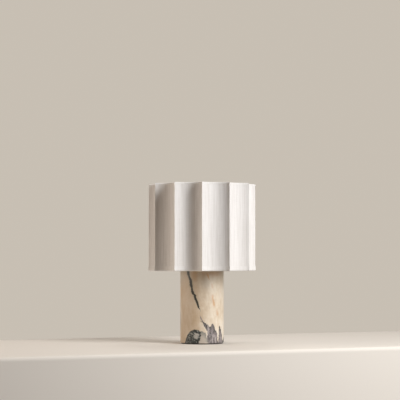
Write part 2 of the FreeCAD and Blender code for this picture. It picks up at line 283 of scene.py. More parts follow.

# Faint colour first: brown stains, grey haze and rusty flecks, on ovals with somewhat square ends.
# Two blots are painted shade rather than stains: the wide umber one paints the shade's shadow
# across the top, and the wide brown one darkens the left side, away from the light.
OVAL_POWER = 2.6
STAIN_EDGE = (0.3, 1.1)
FLECK_EDGE = (0.2, 1.15)
FLECK_RAGS = 1.8
STAINS_AND_SHADE = (  # place, size, colour, strength
    # painted shadow of the shade across the column's top
    ((0, 200), (220, 100), SHADE_UMBER, 0.24),
    ((-21, 192), (13, 24), AMBER, 0.42),
    ((9, 172), (14, 26), ASH, 0.24),
    # ochre: warmer and darker at the top right, under the shade
    ((24, 205), (60, 30), OCHRE, 0.5),
    # painted shade down the column's left side, away from the light
    ((-46, 90), (72, 170), BROWN, 0.42),
    ((60, 150), (12, 40), BROWN, 0.12),
    ((120, 120), (30, 34), ASH, 0.5),
    ((-100, 60), (26, 40), BROWN, 0.4),
    ((175, 100), (20, 50), ASH, 0.5),
)
FLECKS = (  # place, size, lean, strength
    ((17.4, 185), (3.2, 13), -0.45, 0.95),
    ((29, 159), (3.0, 10), -0.17, 0.45),
    ((32.0, 118), (4.4, 21), -0.17, 0.82),
    ((46, 85), (5.0, 12), -0.17, 0.6),
    ((105, 70), (3.2, 16), -0.17, 0.7),
    ((125, 160), (3.0, 14), -0.17, 0.7),
    ((-75, 140), (3.0, 18), -0.17, 0.7),
    ((-150, 60), (3.4, 13), -0.17, 0.7),
)


def in_oval(at, size, lean=0.0):
    """How far out a point is in an oval blot: 0 in its middle and 1 on its edge."""
    up = height - at[1]
    across = abs((round_it - at[0] - up * lean) / size[0]) ** OVAL_POWER
    return (across + abs(up / size[1]) ** OVAL_POWER) ** (1 / OVAL_POWER)


for at, size, stain_and_shade_tint, strength in STAINS_AND_SHADE:
    stain_and_shade_mask = 1 - marble.between(in_oval(at, size) + drift, *STAIN_EDGE)
    colour = marble.mix(stain_and_shade_mask * strength, colour, stain_and_shade_tint)
for at, size, lean, strength in FLECKS:
    fleck = 1 - marble.between(in_oval(at, size, lean) + ragged * FLECK_RAGS, *FLECK_EDGE)
    colour = marble.mix(fleck * strength, colour, RUST)

# Veins, each with a grey halo under its dark core. Their points are (height, how far round).
HALO_WIDTH = 1.7
HALO_SOFTNESS = 0.7
HALO_STRENGTH = 0.3
CORE_SOFTNESS = 0.3
CORE_STRENGTH = 0.95
SWELLS_UP = 0.07
LEAST_SWELL = 0.4
TAPER_INSIDE = 12
TAPER_OUTSIDE = 2
SLIM_FOOT = 0.55
SLIM_LENGTH = 60
LEAST_WIDTH = 0.02
CUT_OFF = 3
HEIGHTS = (0.0, 220.0)
WAYS_ROUND = (-200.0, 200.0)
FRONT_VEIN = (
    (91, -4.5), (105, -10), (118, -15.3), (125, -18.6), (130, -19.4), (133.5, -20.2), (138, -25.2),
    (142, -27.2), (160, -31.4), (176.7, -34.1), (187, -39.3), (197, -41.5), (215, -50),
)
VEINS = (  # points, width, colour
    (FRONT_VEIN, 4.3, VEIN_DARK),
    (((50, 12), (62, 1.5), (79, -5)), 2.6, LILAC),
    (((20, 95), (80, 118), (150, 112), (215, 135)), 1.9, SLATE),
    (((60, -150), (110, -128), (160, -120), (215, -95)), 2.2, VEIN_DARK),
    (((0, -104), (40, -88), (90, -80)), 1.6, LILAC),
)


def drawn(points, value, values, results):
    """A line drawn through (value, result) points, within the ranges of both."""
    low, high = values
    least, most = results
    scaled = [((at - low) / (high - low), (to - least) / (most - least)) for at, to in points]
    share = (value - low) / (high - low)
    curve = marble.node("ShaderNodeFloatCurve", {"line": scaled}, {1: share})
    return curve * (most - least) + least


def vein(points, width, soft, seed):
    """A vein along its points, of an uneven width, slimmer low down and with thin ends."""
    low, high = points[0][0], points[-1][0]
    off = abs(round_it - drawn(points, height, HEIGHTS, WAYS_ROUND))
    swell_place = marble.join(height * SWELLS_UP, seed, 0.0)
    swell = marble.noise(swell_place, scale=1.0, detail=3, roughness=0.7) + LEAST_SWELL
    ends = marble.between(height, low - TAPER_OUTSIDE, low + TAPER_INSIDE)
    ends = ends * (1 - marble.between(height, high - TAPER_INSIDE, high + TAPER_OUTSIDE))
    slim = SLIM_FOOT + marble.between(height, low, low + SLIM_LENGTH) * (1 - SLIM_FOOT)
    spread = off / (swell * ends * slim + LEAST_WIDTH)
    line = 1 - marble.between(spread, width * (1 - soft), width * (1 + soft))
    line = line * marble.between(height, low - CUT_OFF, low)
    return line * (1 - marble.between(height, high, high + CUT_OFF))


for number, (points, width, vein_colour) in enumerate(VEINS):
    halo = vein(points, width * HALO_WIDTH, HALO_SOFTNESS, number)
    colour = marble.mix(halo * HALO_STRENGTH, colour, VEIN_GREY)
    core = vein(points, width, CORE_SOFTNESS, number)
    colour = marble.mix(core * CORE_STRENGTH, colour, vein_colour)

# The foot: toothed lilac-grey banks with upright streaks, and over them pale and dark ovals. A bank
# lies between its top and its foot, whose points are (how far round, height).
STREAKS_ROUND = 0.22
STREAKS_UP = 0.035
FIBRES_ROUND = 0.9
FIBRES_UP = 0.12
STREAK_SHARE = 0.8
FIBRE_SHARE = 0.4
BANK_DARKER = 0.115
BANK_STRENGTH = 0.95
BANK_EDGE = 1.5
BANK_END = 2
TOP_TEETH = 22
FOOT_TEETH = 0.5
TIPS = (1.0, 11.0)
TIPS_DARKER = 0.08
BANK_HEIGHTS = (-10.0, 70.0)
FRONT_BANK_TOP = (
    (-6, 64), (2, 63), (7, 60), (14, 55), (21, 49), (27, 55), (29, 56), (37, 44),
    (46, 29), (50, 6), (51.5, 8), (54, 50), (62, 40), (76, 6), (90, 0),
)
FRONT_BANK_FOOT = ((-6, 63), (0, 61), (5, 52), (10, 43), (13, 35), (15, 22), (15.4, -8), (90, -8))
BACK_BANK_TOP = ((-190, 0), (-184, 20), (-176, 36), (-160, 24), (-150, 0))
BACK_BANK_FOOT = ((-190, -8), (-150, -8))
BANKS = ((FRONT_BANK_TOP, FRONT_BANK_FOOT), (BACK_BANK_TOP, BACK_BANK_FOOT))
BANK_GREYS = ((0.38, INK), (0.45, SLATE), (0.51, LILAC), (0.56, DOVE), (0.63, ASH))

streaks = marble.stretched(
    round_it * STREAKS_ROUND, height * STREAKS_UP, pattern=4.0, detail=4, roughness=0.7
)
fibres = marble.stretched(
    round_it * FIBRES_ROUND, height * FIBRES_UP, pattern=7.0, detail=3, roughness=0.7
)
teeth = (streaks - 0.5) * TOP_TEETH
for top, foot in BANKS:
    low, high = top[0][0], top[-1][0]
    below_top = drawn(top, round_it, (low, high), BANK_HEIGHTS) + teeth - height
    above_foot = height - drawn(foot, round_it, (low, high), BANK_HEIGHTS) - teeth * FOOT_TEETH
    bank = marble.between(below_top, -BANK_EDGE, BANK_EDGE)
    bank = bank * marble.between(above_foot, -BANK_EDGE, BANK_EDGE)
    bank = bank * marble.between(round_it, low, low + BANK_END)
    bank = bank * (1 - marble.between(round_it, high - BANK_END, high))
    tips = marble.between(below_top, *TIPS) * TIPS_DARKER - TIPS_DARKER
    tone = fibres * FIBRE_SHARE + streaks * STREAK_SHARE - BANK_DARKER + tips
    colour = marble.mix(bank * BANK_STRENGTH, colour, marble.ramp(tone, *BANK_GREYS))

# The ovals: a pale one turns grey at its edge and higher up, and a mottled dark one is darkest at
# its rim and near the table, with a lighter window towards its upper right.
PALE_LEAN = -0.2
PALE_RAGS = 0.35
PALE_EDGE = (0.95, 1.03)
PALE_FADE = (0.55, 1.15)
FADE_UP = 0.006
DARK_LEAN = 0.4
DARK_RAGS = 0.3
DARK_EDGE = (0.96, 1.02)
CLOTS_ROUND = 0.17
CLOTS_UP = 0.12
CLOTS_LEAN = 0.07
WINDOW_PLACE = (16, 23)
WINDOW_SIZE = (8, 10)
WINDOW_RAGS = 2
WINDOW_EDGE = (0.3, 1.2)
WINDOW_LIGHTER = 0.13
RIM = (0.72, 0.98)
RIM_DARKER = 0.07
LOW_DOWN = (6.0, 20.0)
LOW_DOWN_DARKER = 0.05
MOTTLE_GREYS = ((0.43, INK), (0.49, GRAPHITE), (0.55, MOSS), (0.64, ASH))
PALE_OVALS = (((4.5, 0), (14.8, 37)), ((-132, -4), (18, 30)), ((140, -4), (16, 34)))
DARK_OVALS = (((-33.5, 0), (22.5, 40)), ((92, -4), (22, 30)), ((-160, -8), (24, 36)))

for at, size in PALE_OVALS:
    out = in_oval(at, size, PALE_LEAN) + ragged * PALE_RAGS
    inside = 1 - marble.between(out, *PALE_EDGE)
    fade = marble.between(out + height * FADE_UP, *PALE_FADE)
    colour = marble.mix(inside, colour, marble.mix(fade, BLUSH, VEIN_GREY))
clots_x = round_it * CLOTS_ROUND + height * CLOTS_LEAN
mottle = marble.stretched(clots_x, height * CLOTS_UP, pattern=2.0, detail=4, roughness=0.8)
for at, size in DARK_OVALS:
    out = in_oval(at, size, DARK_LEAN) + ragged * DARK_RAGS
    inside = 1 - marble.between(out, *DARK_EDGE)
    window_at = (at[0] + WINDOW_PLACE[0], at[1] + WINDOW_PLACE[1])
    window = in_oval(window_at, WINDOW_SIZE) + ragged * WINDOW_RAGS
    tone = mottle + (1 - marble.between(window, *WINDOW_EDGE)) * WINDOW_LIGHTER
    tone = tone - marble.between(out, *RIM) * RIM_DARKER
    tone = tone - (1 - marble.between(height, *LOW_DOWN)) * LOW_DOWN_DARKER
    colour = marble.mix(inside, colour, marble.ramp(tone, *MOTTLE_GREYS))
marble.feed("Base Color", colour)
crystals = marble.noise(place, scale=1500, detail=2, roughness=0.6)
marble.feed("Roughness", 0.30 + crystals * 0.14)
marble.bump(crystals, 0.02 * MM)
dress(marble, "marble_column")

# Cord outlet: a moulded bushing pressed into the drilled passage at the back of the foot, with its
# flange in a spot face. The same black plastic makes the switch knob.
black_plastic = Finish("black_plastic", Roughness=0.45)
speckle = black_plastic.grain(scale=2600, detail=2, roughness=0.6)
black_plastic.tint(speckle, (0.016, 0.016, 0.017), (0.032, 0.031, 0.030))
black_plastic.feed("Roughness", 0.36 + speckle * 0.2)
black_plastic.bump(speckle, 0.03 * MM)
dress(black_plastic, "cord_outlet_bushing", "switch_knob")

# Clamp: a zinc-plated steel tube through the column, with a washer, a toothed lock washer and a
# brass nut in the pocket underneath. The cap's locking screw and the switch stem are plated too,
# while the terminal screws and the middle contact are plain brass, as the nut is.
zinc = Finish("zinc_plate", Metallic=1.0)
spangle = zinc.grain(scale=420, detail=3, roughness=0.6)
zinc.tint(spangle, (0.48, 0.49, 0.50), (0.66, 0.67, 0.66))
zinc.feed("Roughness", 0.28 + spangle * 0.25)
dress(zinc, "threaded_tube", "bottom_washer", "bottom_lock_washer")
dress(zinc, "cap_locking_screw", "switch_stem")
raw_brass = Finish("raw_brass", Metallic=1.0)
tarnish = raw_brass.grain(scale=260, detail=4, roughness=0.6)
raw_brass.tint(tarnish, (0.62, 0.43, 0.19), (0.80, 0.62, 0.33))
raw_brass.feed("Roughness", 0.22 + tarnish * 0.3)
dress(raw_brass, "bottom_nut", "terminal_screws", "centre_contact")

# Top plate and neck: a turned disc and a waisted spacer in brushed, lacquered brass. The brush
# lines run round the axis, as a lathe and an abrasive pad leave them. The lampholder's cap and both
# shade rings are finished in the same way.
BRUSH_LINES = 5000
brass = Finish("brushed_brass", Metallic=1.0)
brass_place = brass.place()
brass_x, brass_y, brass_z = brass.parts(brass_place)
from_axis = brass.maths("SQRT", brass_x * brass_x + brass_y * brass_y)
lathe_place = brass.join(from_axis * BRUSH_LINES, brass_z * BRUSH_LINES, 0.0)
turning = brass.noise(lathe_place, scale=1.0, detail=2, roughness=0.7)
patina = brass.noise(brass_place, scale=60, detail=3, roughness=0.6)
brass.tint(patina, (0.60, 0.43, 0.20), (0.76, 0.58, 0.31))
brass.feed("Roughness", 0.22 + turning * 0.16 + patina * 0.08)
brass.bump(turning, 0.015 * MM)
dress(brass, "column_top_plate", "neck_spacer", "lampholder_cap")
dress(brass, "lower_shade_ring", "upper_shade_ring")

# Lampholder skirt: brass tube with a rolled outer thread for the shade rings and a lip that holds
# the porcelain down. The screw shell inside it is thin brass, rolled to the bulb's round thread.
SKIRT_PITCH = 2.5 * MM
SKIRT_THREAD_DEPTH = 0.7 * MM
SKIRT_WALL = 1.4 * MM
SKIRT_SPIGOT = 5.0 * MM
SPIGOT_STEP = 0.9 * MM
SKIRT_LIP_BORE = 15.2 * MM
LIP = 1.5 * MM
LEAD_IN_HEIGHT = 1.5 * MM
LEAD_IN_DEPTH = 1.4 * MM
EDGE = 0.3 * MM
BULB_PITCH = 3.62 * MM
BULB_THREAD_DEPTH = 0.8 * MM
SHELL_WALL = 0.45 * MM
SHELL_HOLE = 9.0 * MM
THREAD_ROWS = 8
RUN_OUT = 0.6
SHARP = 35.0
ON_AXIS = 1e-7


def thread_rows(radius, bottom, top, pitch, depth):
    """Rows of (radius, z, depth) along a thread, which runs out at both ends."""
    rows = max(2, round((top - bottom) / pitch * THREAD_ROWS))
    line = []
    for n in range(rows + 1):
        z = bottom + (top - bottom) * n / rows
        run_out = min(1.0, (z - bottom) / (RUN_OUT * pitch), (top - z) / (RUN_OUT * pitch))
        line.append((radius, z, depth * run_out))
    return line


def finished(shape, mesh, sharp):
    """Write a shape to its mesh with its faces outwards and smooth up to an angle."""
    bmesh.ops.recalc_face_normals(shape, faces=shape.faces)
    shape.to_mesh(mesh)
    shape.free()
    mesh.shade_smooth()
    mesh.set_sharp_from_angle(angle=math.radians(sharp))
    return mesh


def turned(name, outline, pitch=1.0, sides=96, sharp=SHARP):
    """Turn a closed outline of (radius, z) points about the lamp's axis, with a thread cut to the
    depth that a point's third value gives."""
    shape = bmesh.new()
    rings = []
    for radius, z, *depth in outline:
        ring = []
        for n in range(sides if radius > ON_AXIS else 1):
            share = n / sides
            angle = 2 * math.pi * share
            phase = 2 * math.pi * (z / pitch - share)
            cut = depth[0] * (0.5 - 0.5 * math.cos(phase)) if depth else 0.0
            out = radius - cut
            ring.append(shape.verts.new((out * math.cos(angle), out * math.sin(angle), z)))
        rings.append(ring)
    for lower, upper in zip(rings, rings[1:] + rings[:1]):
        for n in range(sides):
            corners = [lower[n % len(lower)], lower[(n + 1) % len(lower)]]
            corners += [upper[(n + 1) % len(upper)], upper[n % len(upper)]]
            corners = list(dict.fromkeys(corners))
            if len(corners) > 2:
                shape.faces.new(corners)
    return finished(shape, bpy.data.meshes.new(name), sharp)


def shown(mesh, name, finish, body, slot, *nodes):
    """Put a mesh on the lamp in place of CAD nodes."""
    piece = put(name, mesh)
    coat(mesh, finish)
    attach(piece, body)
    if nodes:
        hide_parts(*nodes)
    return piece


low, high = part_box("lampholder_skirt")
skirt_radius = high.x
spigot_top = low.z + SKIRT_SPIGOT
thread_top = high.z - LEAD_IN_HEIGHT
skirt_outline = [
    (skirt_radius - SKIRT_WALL, low.z),
    (skirt_radius - SPIGOT_STEP, low.z),
    (skirt_radius - SPIGOT_STEP, spigot_top),
    (skirt_radius - EDGE, spigot_top),
    *thread_rows(skirt_radius, spigot_top + EDGE, thread_top, SKIRT_PITCH, SKIRT_THREAD_DEPTH),
    (skirt_radius - LEAD_IN_DEPTH, high.z),
    (SKIRT_LIP_BORE + EDGE, high.z),
    (SKIRT_LIP_BORE, high.z - EDGE),
    (SKIRT_LIP_BORE, high.z - LIP),
    (skirt_radius - SKIRT_WALL, high.z - LIP),
]
skirt_mesh = turned("skirt", skirt_outline, SKIRT_PITCH)
shown(skirt_mesh, "lampholder_skirt_threaded", brass, "base", "brushed_brass", "lampholder_skirt")

low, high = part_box("lampholder_screw_shell")
shell_floor = low.z + SHELL_WALL
shell_bore = high.x - SHELL_WALL
shell_outline = [
    (SHELL_HOLE, low.z),
    *thread_rows(high.x, low.z, high.z, BULB_PITCH, BULB_THREAD_DEPTH),
    *reversed(thread_rows(shell_bore, shell_floor, high.z, BULB_PITCH, BULB_THREAD_DEPTH)),
    (SHELL_HOLE, shell_floor),
]
shell = turned("shell", shell_outline, BULB_PITCH, sharp=50)
shown(shell, "screw_shell_threaded", raw_brass, "base", "brass_hardware", "lampholder_screw_shell")

# Porcelain: the block that holds the switch and the contacts, and the sleeve round the shell. It is
# pressed, fired and glazed, and the skirt's lip holds it down.
porcelain = Finish("porcelain", Roughness=0.12, Coat_Weight=0.3)
glaze = porcelain.grain(scale=90)
porcelain.tint(glaze, (0.80, 0.79, 0.75), (0.86, 0.855, 0.83))
porcelain.bump(glaze, 0.05 * MM)
dress(porcelain, "lampholder_ceramic")

# Seat washer: a ring of red-brown vulcanised fibre between the lower shade ring and the carrier. It
# is punched from sheet and lies loose, so that the shade turns on it.
fibre = Finish("vulcanised_fibre", Roughness=0.7)
fibre_grain = fibre.grain(scale=700, detail=3, roughness=0.7)
fibre.tint(fibre_grain, (0.24, 0.10, 0.05), (0.38, 0.18, 0.09))
fibre.bump(fibre_grain, 0.05 * MM)
dress(fibre, "seat_washer")

# Shade frame: steel wire, welded and powder-coated white. Two wires follow the flutes and twelve
# ribs stand in the ridges; three bent arms carry it on the ring that sits on the lampholder.
FLUTES = 12
STEPS = 28
FLUTE_DEPTH = 19.0 * MM
LINEN = 0.8 * MM
LINER = 0.5 * MM
WIRE = 3.5 * MM
WIRE_SIDES = 14
SLACK = 0.05 * MM
WIRE_INSET = LINEN + LINER + SLACK + WIRE / 2
SAME_PLACE = 0.01 * MM
NUDGE = 0.0001
PUCKERS_ROUND = 3.5
PUCKERS_UP = 9
ridge_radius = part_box("shade_cover")[1].x
shade_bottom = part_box("shade_bottom_binding")[0].z
shade_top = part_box("shade_top_binding")[1].z
half_flute = math.pi / FLUTES
half_chord = ridge_radius * math.sin(half_flute)
flute_radius = (half_chord ** 2 + FLUTE_DEPTH ** 2) / (2 * FLUTE_DEPTH)
flute_centre = ridge_radius * math.cos(half_flute) - FLUTE_DEPTH + flute_radius
developed = FLUTES * 2 * flute_radius * math.asin(half_chord / flute_radius)


class Pattern(Graph):
    """A geometry tree with named inputs, which ends in Realize Instances and Set Material."""

    def __init__(self, name, **inputs):
        super().__init__(bpy.data.node_groups.new(name, "GeometryNodeTree"))
        for label, kind in inputs.items():
            self.offer(label.replace("_", " "), "INPUT", kind)
        self.offer("Material", "INPUT", "Material")
        self.offer("Geometry", "OUTPUT", "Geometry")
        self.given = self.tree.nodes.new("NodeGroupInput")

    def offer(self, label, way, kind):
        """Give the tree an input or an output."""
        self.tree.interface.new_socket(label, in_out=way, socket_type="NodeSocket" + kind)

    def asked(self, label):
        """One of the tree's inputs."""
        return Term(self, self.given.outputs[label])

    def random(self, sockets):
        """A random size for each copy, the same on every run for one seed."""
        made = self.node("FunctionNodeRandomValue", {"data_type": "FLOAT"}).socket.node
        for socket in made.inputs:
            if socket.enabled and socket.name in sockets:
                self.fill(socket, sockets[socket.name])
        return Term(self, next(socket for socket in made.outputs if socket.enabled))

    def end(self, geometry):
        """Close the tree on a geometry."""
        real = self.node("GeometryNodeRealizeInstances", None, {0: geometry})
        sockets = {"Geometry": real, "Material": self.asked("Material")}
        dressed = self.node("GeometryNodeSetMaterial", None, sockets)
        self.fill(self.tree.nodes.new("NodeGroupOutput").inputs[0], dressed)

    def make(self, name, finish, sharp=SHARP, **values):
        """Run the tree and keep its result as a plain mesh."""
        holder = put(name, bpy.data.meshes.new(name))
        modifier = holder.modifiers.new(name, "NODES")
        modifier.node_group = self.tree
        values["Material"] = finish.material
        for socket in self.tree.interface.items_tree:
            if socket.in_out == "INPUT":
                modifier[socket.identifier] = values[socket.name.replace(" ", "_")]
        evaluated = holder.evaluated_get(bpy.context.evaluated_depsgraph_get())
        mesh = bpy.data.meshes.new_from_object(evaluated)
        mesh.name = name
        bpy.data.objects.remove(holder)
        shape = bmesh.new()
        shape.from_mesh(mesh)
        return finished(shape, mesh, sharp)


# The tree lays a closed profile of (inset, height) points along the twelve arcs of the outline.
flute = Pattern(
    "along_the_flutes",
    Profile="Object",
    Profile_Points="Int",
    Flutes="Int",
    Steps="Int",
    Flute_Radius="Float",
    Flute_Centre="Float",
    Pucker="Float",
    Developed="Float",
    Profile_Length="Float",
)
flutes = flute.asked("Flutes")
points = flute.asked("Profile Points")
grid_sockets = {
    "Size X": 1.0,
    "Size Y": 1.0,
    "Vertices X": flutes * flute.asked("Steps") + 1,
    "Vertices Y": points + 1,
}
grid = flute.node("GeometryNodeMeshGrid", None, grid_sockets)
grid_map = Term(flute, grid.socket.node.outputs["UV Map"])
across, up, _ = flute.parts(flute.node("GeometryNodeInputPosition"))

# Each row of the grid takes its inset and its height from one point of the profile.
row = flute.maths("FLOORED_MODULO", flute.maths("ROUND", (up + 0.5) * points), points)
given_profile = {"Object": flute.asked("Profile")}
profile = flute.node("GeometryNodeObjectInfo", None, given_profile, out="Geometry")
profile_place = flute.node("GeometryNodeInputPosition")
point_sockets = {"Geometry": profile, "Value": profile_place, "Index": row}
point = flute.node("GeometryNodeSampleIndex", {"data_type": "FLOAT_VECTOR"}, point_sockets)
inset, _, level = flute.parts(point)

# Each column of it stands on the arc of one flute, which puckers least at its ridges.
turn = (across + 0.5) * flutes
number = flute.maths("FLOOR", turn + NUDGE)
half_angle = flute.maths("DIVIDE", math.pi, flutes)
bearing = turn * half_angle * 2
weave_x = flute.maths("COSINE", bearing) * PUCKERS_ROUND
weave_y = flute.maths("SINE", bearing) * PUCKERS_ROUND
weave_place = flute.join(weave_x, weave_y, level * PUCKERS_UP)
crease = flute.maths("SINE", (turn - number) * math.pi)
pucker = (flute.noise(weave_place, scale=1.0) - 0.5) * crease * flute.asked("Pucker")
reach = flute.asked("Flute Radius") + inset
centre = flute.asked("Flute Centre")
off_centre = centre * flute.maths("SINE", half_angle)
to_arc = flute.maths("SQRT", reach * reach - off_centre * off_centre)
ridge = centre * flute.maths("COSINE", half_angle) - to_arc
half_arc = flute.maths("ARCSINE", ridge * flute.maths("SINE", half_angle) / reach)
arc = ((turn - number) * 2 - 1) * half_arc
way = (number * 2 + 1) * half_angle - math.pi / 2
inwards = centre - (reach + pucker) * flute.maths("COSINE", arc)
sideways = (reach + pucker) * flute.maths("SINE", arc)
place_x = inwards * flute.maths("COSINE", way) - sideways * flute.maths("SINE", way)
place_y = inwards * flute.maths("SINE", way) + sideways * flute.maths("COSINE", way)

# The cloth's own map is in metres: along the outline, and along the profile.
map_size = flute.join(flute.asked("Developed"), flute.asked("Profile Length"), 0.0)
scaled_map = {0: grid_map, 1: map_size}
cloth_map = flute.node("ShaderNodeVectorMath", {"operation": "MULTIPLY"}, scaled_map)
map_settings = {"data_type": "FLOAT2", "domain": "CORNER"}
map_sockets = {"Geometry": grid, "Name": "cloth", "Value": cloth_map}
mapped = flute.node("GeometryNodeStoreNamedAttribute", map_settings, map_sockets)
bent_sockets = {"Geometry": mapped, "Position": flute.join(place_x, place_y, level)}
bent = flute.node("GeometryNodeSetPosition", None, bent_sockets)
closed_sockets = {"Geometry": bent, "Distance": SAME_PLACE}
flute.end(flute.node("GeometryNodeMergeByDistance", None, closed_sockets))


def fluted(name, profile, finish, pucker=0.0, sharp=SHARP):
    """A mesh that runs round the flutes with a closed profile of (inset, height) points."""
    outline = bpy.data.meshes.new(name + "_profile")
    outline.from_pydata([(inset, 0, z) for inset, z in profile], [], [])
    holder = put(name + "_profile", outline)
    length = sum(math.dist(a, b) for a, b in zip(profile, profile[1:] + profile[:1]))
    mesh = flute.make(
        name,
        finish,
        sharp,
        Profile=holder,
        Profile_Points=len(profile),
        Flutes=FLUTES,
        Steps=STEPS,
        Flute_Radius=flute_radius,
        Flute_Centre=flute_centre,
        Pucker=pucker,
        Developed=developed,
        Profile_Length=length,
    )
    bpy.data.objects.remove(holder)
    return mesh


def around(centre, radius, start, end, steps):
    """Points of an arc in the profile's plane, its angles in degrees."""
    points = []
    for n in range(steps + 1):
        angle = math.radians(start + (end - start) * n / steps)
        points.append((centre[0] + radius * math.cos(angle), centre[1] + radius * math.sin(angle)))
    return points


powder = Finish("white_powder_coat", Roughness=0.4)
orange_peel = powder.grain(scale=1100)
powder.tint(orange_peel, (0.77, 0.77, 0.75), (0.82, 0.82, 0.80))
powder.bump(orange_peel, 0.03 * MM)
for node in ("shade_bottom_wire", "shade_top_wire"):
    low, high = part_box(node)
    middle = (low.z + high.z) / 2
    wire_profile = around((WIRE_INSET, middle), WIRE / 2, 0, 360, WIRE_SIDES)[:-1]
    wire_mesh = fluted(node + "_round", wire_profile, powder, sharp=60)
    shown(wire_mesh, node + "_round", powder, "shade", "white_wire", node)
dress(powder, "spider_arms", "carrier_ring")

# Ribs and welds: a straight rib in each ridge with a bead of weld at both ends, and a bead at both
# ends of each arm, all under the same powder coat. The tree sets copies of a piece in a ring.
RIB_RADIUS = 1.5 * MM
WELD_RADIUS = 1.75 * MM
WELD_HEIGHT = 3.0 * MM
WELD_DROP = 0.5 * MM
WELD_STEPS = 8
BEAD_STEPS = 8
ARMS = 3
FIRST_ARM = 75
ARM_WIRE_RADIUS = 2.0 * MM
BEAD_RADIUS = 2.5 * MM
BEAD_HEIGHT = 2.3 * MM
BEAD_OFF_WIRE = 2.4 * MM
BEAD_OFF_PLATE = 0.7 * MM
BEAD_UNEVENNESS = 0.06
ring = Pattern(
    "ring_of_copies",
    Piece="Object",
    Copies="Int",
    Radius="Float",
    Height="Float",
    First_Angle="Float",
    Unevenness="Float",
    Seed="Int",
)
copies = ring.asked("Copies")
unevenness = ring.asked("Unevenness")
copy_number = ring.node("GeometryNodeInputIndex")
copy_angle = copy_number * (2 * math.pi) / copies + ring.asked("First Angle")
copy_x = ring.maths("COSINE", copy_angle) * ring.asked("Radius")
copy_y = ring.maths("SINE", copy_angle) * ring.asked("Radius")
copy_place = ring.join(copy_x, copy_y, ring.asked("Height"))
spots = ring.node("GeometryNodePoints", None, {"Count": copies, "Position": copy_place})
copied = ring.node("GeometryNodeObjectInfo", None, {"Object": ring.asked("Piece")}, out="Geometry")
chance = {"Min": 1 - unevenness, "Max": 1 + unevenness, "Seed": ring.asked("Seed")}
copy_sockets = {
    "Points": spots,
    "Instance": copied,
    "Rotation": ring.join(0.0, 0.0, copy_angle),
    "Scale": ring.random(chance),
}
ring.end(ring.node("GeometryNodeInstanceOnPoints", None, copy_sockets))


def ringed(name, piece, finish, rings, unevenness=0.0):
    """A mesh of rings of copies, each ring given as (copies, radius, height, first angle)."""
    holder = put(name + "_piece", piece)
    shape = bmesh.new()
    for seed, (copies, radius, height, first) in enumerate(rings):
        mesh = ring.make(
            name,
            finish,
            Piece=holder,
            Copies=copies,
            Radius=radius,
            Height=height,
            First_Angle=math.radians(first),
            Unevenness=unevenness,
            Seed=seed,
        )
        shape.from_mesh(mesh)
        bpy.data.meshes.remove(mesh)
    bpy.data.objects.remove(holder)
    return finished(shape, bpy.data.meshes.new(name), sharp=40)


def inset_radius(inset, at_ridge):
    """How far from the axis an inset outline is at its ridges or at its valleys."""
    across = flute_centre * math.sin(half_flute)
    reach = flute_radius + inset
    if at_ridge:
        return flute_centre * math.cos(half_flute) - math.sqrt(reach ** 2 - across ** 2)
    return flute_centre - reach


low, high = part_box("shade_ribs")
foot_weld = []
for step in range(WELD_STEPS + 1):
    share = step / WELD_STEPS
    swell = math.sin(math.pi * share) ** 2 * (WELD_RADIUS - RIB_RADIUS)
    foot_weld.append((RIB_RADIUS + swell, low.z - WELD_DROP + WELD_HEIGHT * share))
head_weld = [(radius, low.z + high.z - z) for radius, z in reversed(foot_weld)]
rib_outline = [(0, foot_weld[0][1]), *foot_weld, *head_weld, (0, head_weld[-1][1])]
rib = turned("rib", rib_outline, sides=20)
rib_ring = (FLUTES, inset_radius(WIRE_INSET, True), 0.0, 0)
rib_mesh = ringed("ribs", rib, powder, [rib_ring])
shown(rib_mesh, "shade_ribs_welded", powder, "shade", "white_wire", "shade_ribs")

half_round = around((0, 0), 1, -90, 90, BEAD_STEPS)
bead_outline = [(radius * BEAD_RADIUS, z * BEAD_HEIGHT) for radius, z in half_round]
bead = turned("bead", bead_outline, sides=16)
plate_low, plate_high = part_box("carrier_ring")
plate_middle = (plate_low.z + plate_high.z) / 2
arm_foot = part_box("spider_arms")[0].z + ARM_WIRE_RADIUS
outer_welds = (ARMS, inset_radius(WIRE_INSET, False) - BEAD_OFF_WIRE, arm_foot, FIRST_ARM)
inner_welds = (ARMS, plate_high.x + BEAD_OFF_PLATE, plate_middle, FIRST_ARM)
arm_welds = ringed("arm_welds", bead, powder, [outer_welds, inner_welds], BEAD_UNEVENNESS)
shown(arm_welds, "arm_welds", powder, "shade", "white_wire")

# Liner: a white styrene sheet, half a millimetre thick, stuck to the back of the linen and creased
# with it. It keeps the flutes in shape, and ends inside the folds of both edge strips.
CLOTH_MARGIN = 1.2 * MM
LAMINATE_GAP = 0.02 * MM
ROWS = 30
PUCKER = 0.5 * MM
styrene = Finish("styrene_liner", Roughness=0.5)
sheen = styrene.grain(scale=30)
styrene.tint(sheen, (0.78, 0.77, 0.74), (0.83, 0.82, 0.79))
cloth_bottom = shade_bottom + CLOTH_MARGIN
cloth_top = shade_top - CLOTH_MARGIN


def sheet_profile(outer, inner):
    """A thin upright sheet from one inset to another, in rows so that it can pucker."""
    levels = [cloth_bottom + (cloth_top - cloth_bottom) * n / ROWS for n in range(ROWS + 1)]
    return [(outer, z) for z in levels] + [(inner, z) for z in reversed(levels)]


liner_profile = sheet_profile(LINEN + LAMINATE_GAP, LINEN + LINER)
liner_mesh = fluted("liner", liner_profile, styrene, PUCKER)
shown(liner_mesh, "styrene_liner_sheet", styrene, "shade", "shade_liner", "shade_liner")

